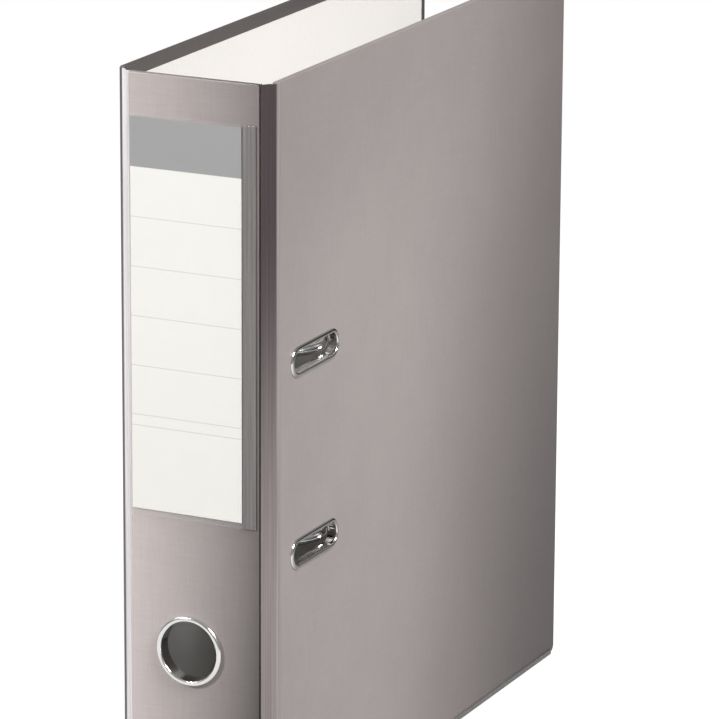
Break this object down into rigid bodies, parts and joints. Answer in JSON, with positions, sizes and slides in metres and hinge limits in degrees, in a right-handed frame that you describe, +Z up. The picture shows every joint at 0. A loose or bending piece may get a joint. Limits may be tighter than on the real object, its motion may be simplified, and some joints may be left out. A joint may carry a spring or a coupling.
{
  "type": "lever arch file",
  "caption": "Closed upright A4 lever arch file: hinged board covers, labelled spine with a finger ring, slotted front cover, and a lever, arch and post mechanism inside.",
  "frame": {"origin": "centre of the bounding box on the floor plane", "axes": "+X across the spine towards the front cover, +Y from the spine towards the fore edge, +Z up"},
  "size_m": [0.072, 0.285, 0.318],
  "materials": {
    "cover_film": "satin linen-embossed film over board",
    "spine_film": "satin linen-embossed film over board",
    "hinge_film": "satin film",
    "lining_paper": "matt",
    "label_card": "matt print",
    "pocket_film": "clear gloss film",
    "ring_metal": "polished nickel",
    "rail_metal": "rolled strip",
    "eyelet_metal": "polished nickel",
    "plate_metal": "bright zinc plate",
    "wire_metal": "polished nickel plate",
    "rivet_metal": "bright zinc plate",
    "black_plastic": "moulded"
  },
  "bodies": {
    "back": {"back_cover": "cover_film", "back_lining": "lining_paper", "back_edge_rail": "rail_metal", "base_plate": "plate_metal", "post_upper": "wire_metal", "post_lower": "wire_metal", "wire_clip_upper": "plate_metal", "wire_clip_lower": "plate_metal", "leaf_spring": "plate_metal", "lever_bracket": "plate_metal", "lever_pivot_pin": "rivet_metal", "rivet_1": "rivet_metal", "rivet_2": "rivet_metal", "rivet_3": "rivet_metal", "rivet_4": "rivet_metal"},
    "rear_strip": {"rear_hinge_strip": "hinge_film"},
    "spine": {"spine_board": "spine_film", "spine_lining": "lining_paper", "label_card": "label_card", "label_pocket": "pocket_film", "finger_ring": "ring_metal", "finger_ring_washer": "ring_metal"},
    "front_strip": {"front_hinge_strip": "hinge_film"},
    "front": {"front_cover": "cover_film", "front_lining": "lining_paper", "front_edge_rail": "rail_metal", "slot_eyelet_upper": "eyelet_metal", "slot_eyelet_lower": "eyelet_metal"},
    "arch": {"arch_wire": "wire_metal"},
    "lever": {"lever_arm": "wire_metal", "lever_grip": "black_plastic", "roller_pin": "rivet_metal"},
    "roller": {"roller": "black_plastic"},
    "bar": {"compressor_bar": "plate_metal", "bar_bush_upper": "black_plastic", "bar_bush_lower": "black_plastic"}
  },
  "joints": [
    {"name": "rear_strip_hinge", "type": "hinge", "parent": "back", "child": "rear_strip", "pos_m": [-0.035, -0.136, 0.1594], "axis": [0, 0, -1], "range_deg": [0, 51.7]},
    {"name": "spine_hinge", "type": "hinge", "parent": "rear_strip", "child": "spine", "pos_m": [-0.0287, -0.141, 0.1594], "axis": [0, 0, -1], "range_deg": [0, 38.4]},
    {"name": "front_strip_hinge", "type": "hinge", "parent": "spine", "child": "front_strip", "pos_m": [0.0287, -0.141, 0.1594], "axis": [0, 0, -1], "range_deg": [0, 76.9]},
    {"name": "front_cover_hinge", "type": "hinge", "parent": "front_strip", "child": "front", "pos_m": [0.035, -0.136, 0.1594], "axis": [0, 0, -1], "range_deg": [0, 103.2]},
    {"name": "lever_hinge", "type": "hinge", "parent": "back", "child": "lever", "pos_m": [-0.0151, -0.09008, 0.1594], "axis": [0, 0, 1], "range_deg": [0, 51]},
    {"name": "arch_hinge", "type": "hinge", "parent": "back", "child": "arch", "pos_m": [-0.0271, -0.104, 0.1594], "axis": [0, 0, -1], "range_deg": [0, 41.8]},
    {"name": "roller_spin", "type": "hinge", "parent": "lever", "child": "roller", "pos_m": [-0.02126, -0.09555, 0.1594], "axis": [0, 0, -1], "range_deg": [0, 60]},
    {"name": "bar_slide", "type": "slide", "parent": "back", "child": "bar", "axis": [1, 0, 0], "range_m": [0, 0.022]}
  ],
  "couplings": [
    {"joint": "rear_strip_hinge", "follows": "spine_hinge", "ratio": 1.344},
    {"joint": "front_strip_hinge", "follows": "front_cover_hinge", "ratio": 0.7442},
    {"joint": "arch_hinge", "follows": "lever_hinge", "ratio": 0.818},
    {"joint": "roller_spin", "follows": "lever_hinge", "ratio": 1}
  ]
}
